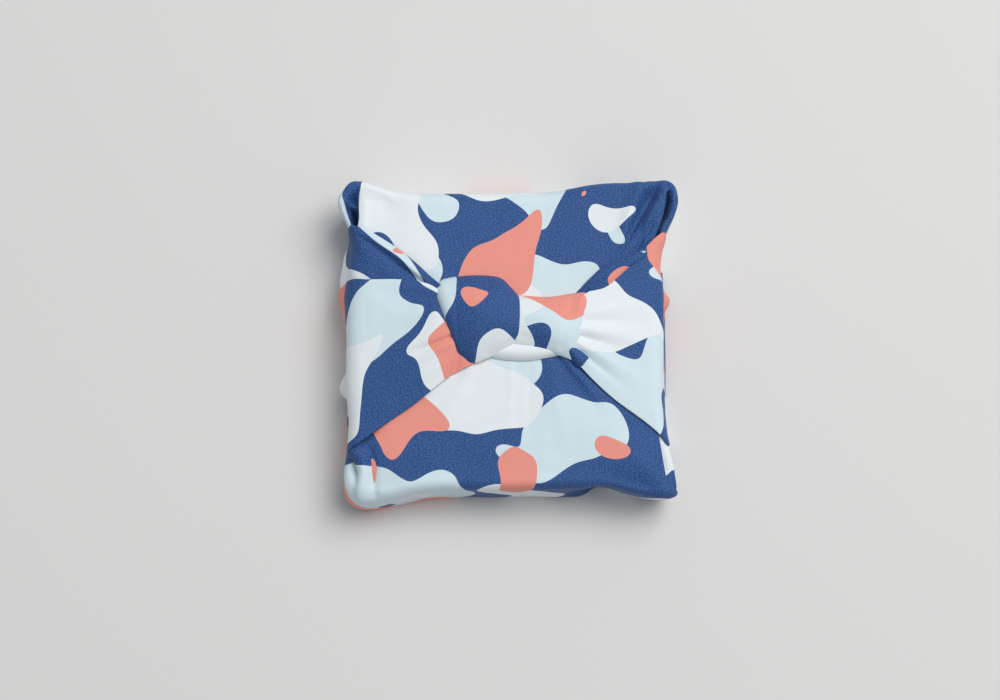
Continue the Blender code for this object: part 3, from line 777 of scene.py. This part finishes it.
RIGHT_TAIL = [
    (129, 47, 129, -55, -0.6, -0.6, -0.6),
    (121, 53, 121, -57, 1.1, 1.1, 1.1),
    (110, 62, 110, -60, 1.8, 1.7, 1.6),
    (101, 69.3, 101, -61.6, 2.2, 1.9, 1.8),
    (94.5, 67.8, 95.5, -56, 2.2, 2.2, 1.8),
    (86, 60, 87, -48.6, 2.4, 3.2, 1.8),
    (73, 50, 67, -34, 2.6, 4.6, 1.9),
    (62, 40, 53.6, -22, 3.0, 6.0, 2.4),
    (51, 32, 44.5, -12.6, 4.2, 7.0, 3.4),
    (37, 24, 34, -4, 5.0, 7.2, 4.4),
]
RIGHT_TAIL_FOLDS = [
    # gathers that spread from the knot
    (1.0, (44, 9, 2.0, 0.8), (58, 7, 3.0, 1.0), (78, 5, 5.0, 0.5)),
    (1.0, (45, 4.5, 1.4, -0.9), (58, 1, 2.4, -1.0), (80, -5, 5.0, -0.3)),
    (1.0, (44, 0, 1.8, 0.8), (57, -7, 2.6, 1.0), (76, -18, 4.0, 0.4)),
    (1.0, (46, -5, 1.2, -0.8), (57, -14, 2.0, -0.9), (74, -27, 3.4, -0.3)),
    (1.0, (49, 19, 2.0, 0.7), (62, 21, 3.0, 0.8), (82, 24, 5.0, 0.4)),
    (1.0, (50, 14, 1.6, -0.6), (64, 14, 2.6, -0.7), (84, 14, 4.0, -0.2)),
    # the folded end that lies under the outer roll of the back right ear, and the hollow beside it
    (1.0, (103, 66, 3.0, 0.6), (96, 64.5, 3.0, 0.8), (90, 60, 3.0, 0.6)),
    (1.0, (108, 60, 4.0, -0.6), (97, 50, 5.0, -0.6), (84, 38, 6.0, -0.5)),
]
RIGHT_ROLL = [
    (93.4, 63.4, 93.0, 62.4, -0.6, -0.6, -0.6),
    (90, 61.2, 89.8, 58.8, 0.8, 1.4, 0.8),
    (84, 58.6, 86, 54.2, 2.2, 3.8, 2.8),
    (75.5, 55.6, 77, 48.8, 2.4, 4.8, 3.4),
    (67.6, 52.6, 70, 42.6, 2.4, 5.4, 3.8),
    (59.5, 47.8, 63, 36.6, 2.8, 6.0, 4.2),
    (51, 39.8, 55.4, 32.4, 2.6, 5.0, 3.4),
    (44, 32.6, 48, 26, 0.6, 2.0, 1.2),
    (34, 24, 38, 17, 0.2, 1.0, 0.6),
]
ROLL_FOLDS = [
    # the crease where the hem was rolled up
    (0.6, (84, 56, 0.9, -0.4), (74, 50.4, 1.3, -1.1), (62, 41.6, 1.5, -1.4), (49, 32.4, 1.3, -1.0)),
]

right_tail_fold = laid_tail(
    "right_tail_fold",
    RIGHT_TAIL,
    RIGHT_TAIL_FOLDS,
    grid=(122, 84),
    corner=(0.67, 0.31),
    turned=-65,
    first=(0.0006, (4, 9, 15)),
    last=(0.00055, (3, 6)),
)
right_roll_fold = laid_tail(
    "right_roll_fold",
    RIGHT_ROLL,
    ROLL_FOLDS,
    grid=(90, 24),
    corner=(1.52, 0.22),
    turned=-15,
    first=(0.0008, (3, 9)),
    last=(0.0007, (3, 9)),
)


# ---- Knot ------------------------------------------------------------------------------------------------
# The two tails are tied once. The left tail's band crosses over the right one's, a lower fold shows under
# both, and the end that is tucked away shows as a small tab.

LEFT_BAND = [
    # x and y of the back end, x and y of the front end, the crest's height and place, and its squareness
    (-44.6, 34.6, -31.6, -2.2, 8.6, 0.5, 0.5),
    (-42.6, 38.2, -29.6, -6.0, 11.0, 0.46, 0.55),
    (-37.6, 41.4, -26.0, -9.4, 12.6, 0.44, 0.6),
    (-23, 43.4, -20, -12.2, 14.6, 0.42, 0.65),
    (-10, 43.2, -12.4, -9.6, 15.4, 0.42, 0.65),
    (-2.4, 41.2, -6.6, -7.0, 14.8, 0.44, 0.6),
    (3.4, 35.4, 0.4, -3.8, 13.0, 0.48, 0.55),
    (8.2, 29.8, 7.0, 0.8, 11.2, 0.5, 0.5),
]
RIGHT_BAND = [
    (-4, 31.2, -2.6, -2.2, 8.4, 0.5, 0.55),
    (9.2, 30.6, 13, -3.4, 10.4, 0.45, 0.55),
    (26, 29.8, 27, -5.8, 12.0, 0.45, 0.55),
    (40, 31.8, 36, -8.6, 11.2, 0.5, 0.5),
    (49, 33.0, 40, -10.2, 9.0, 0.5, 0.42),
    (53, 32.8, 41.6, -10.6, 6.8, 0.5, 0.36),
]
LOWER_BAND = [
    (-13, 4, -12, -7.2, 4.4, 0.6, 0.6),
    (-4, 4, -5, -9.4, 5.2, 0.6, 0.6),
    (8, 4, 8, -10.6, 5.6, 0.6, 0.6),
    (20, 4, 20, -9.8, 5.4, 0.6, 0.6),
    (38, 3, 36, -6.6, 4.4, 0.6, 0.6),
]
END_TAB = [
    (31, 5, 33, -4, 5.6, 0.5, 0.5),
    (38, 3, 38, -7.4, 7.6, 0.5, 0.5),
    (43.4, -1, 41.8, -12.4, 8.2, 0.5, 0.5),
    (48, -4.2, 44, -14.4, 7.4, 0.5, 0.5),
    (52, -7, 46, -15, 5.8, 0.5, 0.5),
]
LEFT_BAND_FOLDS = [
    # a soft ridge along the crest, between two hollows
    (1.0, (-30, 4, 1.4, -0.5), (-30, 22, 2.0, -0.4), (-36, 34, 2.0, -0.2)),
    (1.0, (-20.5, -7, 2.4, 0.5), (-17, 12, 4.0, 0.4), (-19, 34, 4.0, 0.2)),
    (1.0, (-12, -6, 1.6, -0.4), (-7, 10, 2.6, -0.35), (-6, 32, 3.0, -0.2)),
]
RIGHT_BAND_FOLDS = [
    # the rounded end of the band, the hollow beside it, and two hollows along the band
    (1.0, (47, 31, 1.5, 0.7), (44, 14, 1.5, 0.8), (39.5, -4, 1.3, 0.6)),
    (1.0, (41, 28, 2.2, -0.6), (38, 12, 2.4, -0.7), (34, -3, 2.0, -0.5)),
    (1.0, (10, 24, 2.0, -0.6), (24, 21, 3.0, -0.4), (38, 24, 3.0, -0.2)),
    (1.0, (10, 4, 2.0, -0.5), (24, 0, 3.0, -0.4), (35, -2, 2.0, -0.2)),
]
BAND_SUNK = 0.4
BAND_ARCH = 0.965
END_CROWDING = 0.65
END_POWER = 0.3
FRONT_TURN_UNDER = [
    # share of the way back under the band, share of the height that is left
    (0.0, 0.8),
    (0.012, 0.6),
    (0.04, 0.3),
    (0.07, 0.0),
]
EDGE_TURNS = [
    # degrees, share of the drop, radii in under the band
    (30, 0, 0),
    (60, 0, 0),
    (90, 0, 0),
    (120, 0, 0),
    (155, 0, 0),
    (180, 0.3, 0.4),
    (180, 0.7, 0.9),
    (180, 1.0, 1.2),
]
# The height of the cloth under the bands, and the least that an edge comes down to it, in metres.
CLOTH_BELOW = 0.046
LEAST_DROP = 0.001


def band_rows(stations, folds, along, across):
    """Rows of points for a band of the knot, each from its back end over its crest and in under its front."""
    rows = []
    for i in range(along + 1):
        x1, y1, x2, y2, crest, crest_at, squareness = smooth_row(stations, i / along)
        row = []
        for j in range(across + 1):
            crowding = 1 - END_CROWDING + END_CROWDING * abs(2 * j / across - 1) ** END_POWER
            v = 0.5 - 0.5 * math.cos(math.pi * j / across) * crowding
            x, y = x1 + (x2 - x1) * v, y1 + (y2 - y1) * v
            warped = 0.5 * v / crest_at if v < crest_at else 0.5 + 0.5 * (v - crest_at) / (1 - crest_at)
            rise = crest * max(math.sin(math.pi * BAND_ARCH * warped), 0) ** squareness
            row.append(on_parcel(x, y, rise - BAND_SUNK, folds))
        for back, left in FRONT_TURN_UNDER:
            x, y = x2 + (x1 - x2) * back, y2 + (y1 - y2) * back
            row.append(on_parcel(x, y, rise * left - BAND_SUNK, folds))
        rows.append(row)
    return rows


def turn_band_edge(rows, prints, radius, drop):
    """Turns the side edge past a band's last row down and in under it, until it meets the cloth below."""
    rim, inner = rows[-1], rows[-3]
    rim_prints, inner_prints = prints[-1], prints[-2]
    for turn, sink, back in EDGE_TURNS:
        angle = math.radians(turn)
        out, down = radius * (math.sin(angle) - back), radius * (1 - math.cos(angle))
        run = radius * angle + sink * drop
        row, print_row = [], []
        for c, edge in enumerate(rim):
            beside = rim[min(c + 1, len(rim) - 1)] - rim[max(c - 1, 0)]
            outward = (edge - inner[c]).normalized()
            normal = beside.cross(outward).normalized()
            if normal.z < 0:
                normal = -normal
            point = edge + outward * out - normal * down
            point.z -= sink * min(drop, max(edge.z - CLOTH_BELOW, LEAST_DROP))
            u, v = rim_prints[c]
            step_u, step_v = u - inner_prints[c][0], v - inner_prints[c][1]
            pace = max(math.hypot(step_u, step_v), NO_LENGTH)
            row.append(point)
            print_row.append((u + step_u / pace * run, v + step_v / pace * run))
        rows.append(row)
        prints.append(print_row)


KNOT_BANDS = [
    # name, stations, folds, along, across, print corner, print turn, edge radius, drop
    ("right_band_fold", RIGHT_BAND, RIGHT_BAND_FOLDS, 72, 56, (0.73, 0.50), 130, 0.0009, 0.012),
    ("lower_band_fold", LOWER_BAND, [], 50, 24, (1.37, 0.175), 90, 0.0005, 0.004),
    ("end_tab_fold", END_TAB, [], 30, 24, (1.26, 0.16), 45, 0.0005, 0.005),
    ("left_band_fold", LEFT_BAND, LEFT_BAND_FOLDS, 84, 72, (1.86, -0.01), 170, 0.0011, 0.012),
]
knot_folds = []
for name, stations, folds, along, across, corner, turned, radius, drop in KNOT_BANDS:
    rows = band_rows(stations, folds, along, across)
    prints = flat_places(rows, corner, turned)
    turn_band_edge(rows, prints, radius, drop)
    rows.reverse()
    prints.reverse()
    turn_band_edge(rows, prints, radius, drop)
    knot_folds.append(fold_of_cloth(name, rows, prints))


# ---- The printed cloth itself ----------------------------------------------------------------------------
# All the folds are one square of smooth cotton twill, 500 by 500 mm, printed in navy, ice blue, white and
# coral in large rounded patches. They are joined, and finished with the print, the twill and a soft sheen.

NAVY = (0.006, 0.044, 0.170, 1.0)
NAVY_THREAD = (0.064, 0.155, 0.405, 1.0)
ICE = (0.645, 0.785, 0.845, 1.0)
WHITE = (0.79, 0.845, 0.885, 1.0)
CORAL = (0.835, 0.305, 0.25, 1.0)
SWAY_SCALE = 27.0
SWAY_REACH = 0.044
INK_EDGE = 0.0015
TWILL_SCALE = 560.0
TWILL_DEPTH = 0.0002
THREAD_SCALE = 1700.0
THREAD_SLANT = math.radians(-38)
THREAD_NARROWED = 0.55
THREADS_SHOW = (0.37, 0.68)
ROUGHNESS = (0.62, 0.8)

print_group = bpy.data.node_groups.new("patch_print", "ShaderNodeTree")
print_group.interface.new_socket("Place", in_out="INPUT", socket_type="NodeSocketVector")
for socket in ("Size", "Spread", "Layer"):
    print_group.interface.new_socket(socket, in_out="INPUT", socket_type="NodeSocketFloat")
print_group.interface.new_socket("Mask", in_out="OUTPUT", socket_type="NodeSocketFloat")
nodes, links = print_group.nodes, print_group.links
given = nodes.new("NodeGroupInput")
result = nodes.new("NodeGroupOutput")
sway = nodes.new("ShaderNodeTexNoise")
sway.noise_dimensions = "4D"
sway.inputs["Scale"].default_value = SWAY_SCALE
sway.inputs["Detail"].default_value = 0.0
centred = nodes.new("ShaderNodeVectorMath")
centred.operation = "SUBTRACT"
centred.inputs[1].default_value = (0.5, 0.5, 0.5)
swayed = nodes.new("ShaderNodeVectorMath")
swayed.operation = "MULTIPLY_ADD"
swayed.inputs[1].default_value = (SWAY_REACH, SWAY_REACH, 0.0)
patches = nodes.new("ShaderNodeTexNoise")
patches.noise_dimensions = "4D"
patches.inputs["Detail"].default_value = 0.0
edge_low = nodes.new("ShaderNodeMath")
edge_low.operation = "SUBTRACT"
edge_low.inputs[0].default_value = 1.0 - INK_EDGE
edge_high = nodes.new("ShaderNodeMath")
edge_high.operation = "SUBTRACT"
edge_high.inputs[0].default_value = 1.0
mask = nodes.new("ShaderNodeMapRange")
mask.interpolation_type = "SMOOTHSTEP"
links.new(given.outputs["Place"], sway.inputs["Vector"])
links.new(given.outputs["Layer"], sway.inputs["W"])
links.new(sway.outputs["Color"], centred.inputs[0])
links.new(centred.outputs["Vector"], swayed.inputs[0])
links.new(given.outputs["Place"], swayed.inputs[2])
links.new(swayed.outputs["Vector"], patches.inputs["Vector"])
links.new(given.outputs["Layer"], patches.inputs["W"])
links.new(given.outputs["Size"], patches.inputs["Scale"])
links.new(given.outputs["Spread"], edge_low.inputs[1])
links.new(given.outputs["Spread"], edge_high.inputs[1])
links.new(patches.outputs["Fac"], mask.inputs["Value"])
links.new(edge_low.outputs["Value"], mask.inputs["From Min"])
links.new(edge_high.outputs["Value"], mask.inputs["From Max"])
links.new(mask.outputs["Result"], result.inputs["Mask"])

twill_group = bpy.data.node_groups.new("twill_weave", "ShaderNodeTree")
twill_group.interface.new_socket("Place", in_out="INPUT", socket_type="NodeSocketVector")
twill_group.interface.new_socket("Height", in_out="OUTPUT", socket_type="NodeSocketFloat")
twill_group.interface.new_socket("Flecks", in_out="OUTPUT", socket_type="NodeSocketFloat")
nodes, links = twill_group.nodes, twill_group.links
given = nodes.new("NodeGroupInput")
result = nodes.new("NodeGroupOutput")
ribs = nodes.new("ShaderNodeTexWave")
ribs.wave_type = "BANDS"
ribs.bands_direction = "DIAGONAL"
ribs.inputs["Scale"].default_value = TWILL_SCALE
ribs.inputs["Distortion"].default_value = 1.2
ribs.inputs["Detail"].default_value = 2.0
ribs.inputs["Detail Scale"].default_value = 2.5
slant = nodes.new("ShaderNodeMapping")
slant.inputs["Rotation"].default_value = (0.0, 0.0, THREAD_SLANT)
slant.inputs["Scale"].default_value = (THREAD_NARROWED, 1.0, 1.0)
flecks = nodes.new("ShaderNodeTexNoise")
flecks.inputs["Scale"].default_value = THREAD_SCALE
flecks.inputs["Detail"].default_value = 1.0
fleck_mask = nodes.new("ShaderNodeMapRange")
fleck_mask.inputs["From Min"].default_value = THREADS_SHOW[0]
fleck_mask.inputs["From Max"].default_value = THREADS_SHOW[1]
links.new(given.outputs["Place"], ribs.inputs["Vector"])
links.new(given.outputs["Place"], slant.inputs["Vector"])
links.new(slant.outputs["Vector"], flecks.inputs["Vector"])
links.new(flecks.outputs["Fac"], fleck_mask.inputs["Value"])
links.new(fleck_mask.outputs["Result"], result.inputs["Flecks"])
links.new(ribs.outputs["Fac"], result.inputs["Height"])

cloth = bpy.data.materials.new("printed_twill")
cloth.use_nodes = True
nodes, links = cloth.node_tree.nodes, cloth.node_tree.links
shader = nodes["Principled BSDF"]
shader.inputs["Sheen Weight"].default_value = 0.12
shader.inputs["Sheen Roughness"].default_value = 0.4
shader.inputs["Specular IOR Level"].default_value = 0.3
flat_cloth = nodes.new("ShaderNodeUVMap")
flat_cloth.uv_map = "flat_cloth"
twill = nodes.new("ShaderNodeGroup")
twill.node_tree = twill_group
links.new(flat_cloth.outputs["UV"], twill.inputs["Place"])
ground = nodes.new("ShaderNodeMix")
ground.data_type = "RGBA"
ground.inputs["A"].default_value = NAVY
ground.inputs["B"].default_value = NAVY_THREAD
links.new(twill.outputs["Flecks"], ground.inputs["Factor"])
colour = ground.outputs["Result"]
PRINT_LAYERS = [
    # ink, size of its patches, how far they spread, layer of the noise
    (ICE, 20.0, 0.446, 2.3),
    (WHITE, 18.0, 0.408, 7.9),
    (CORAL, 24.0, 0.345, 13.1),
]
for ink, size, spread, layer in PRINT_LAYERS:
    patch = nodes.new("ShaderNodeGroup")
    patch.node_tree = print_group
    patch.inputs["Size"].default_value = size
    patch.inputs["Spread"].default_value = spread
    patch.inputs["Layer"].default_value = layer
    inked = nodes.new("ShaderNodeMix")
    inked.data_type = "RGBA"
    inked.inputs["B"].default_value = ink
    links.new(flat_cloth.outputs["UV"], patch.inputs["Place"])
    links.new(patch.outputs["Mask"], inked.inputs["Factor"])
    links.new(colour, inked.inputs["A"])
    colour = inked.outputs["Result"]
links.new(colour, shader.inputs["Base Color"])
wear = nodes.new("ShaderNodeMapRange")
wear.inputs["To Min"].default_value = ROUGHNESS[0]
wear.inputs["To Max"].default_value = ROUGHNESS[1]
links.new(twill.outputs["Flecks"], wear.inputs["Value"])
links.new(wear.outputs["Result"], shader.inputs["Roughness"])
relief = nodes.new("ShaderNodeBump")
relief.inputs["Strength"].default_value = 0.25
relief.inputs["Distance"].default_value = TWILL_DEPTH
links.new(twill.outputs["Height"], relief.inputs["Height"])
links.new(relief.outputs["Normal"], shader.inputs["Normal"])

bpy.ops.object.select_all(action="DESELECT")
corner_folds = [back_fold, front_fold, under_tail_fold, left_tail_fold, right_tail_fold, right_roll_fold]
for fold in [wall_fold] + corner_folds + knot_folds:
    fold.select_set(True)
bpy.context.view_layer.objects.active = wall_fold
bpy.ops.object.join()
furoshiki = bpy.context.object
furoshiki.name = "furoshiki"
furoshiki.data.materials.clear()
furoshiki.data.materials.append(cloth)
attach(furoshiki, "root")
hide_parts("furoshiki_cloth")
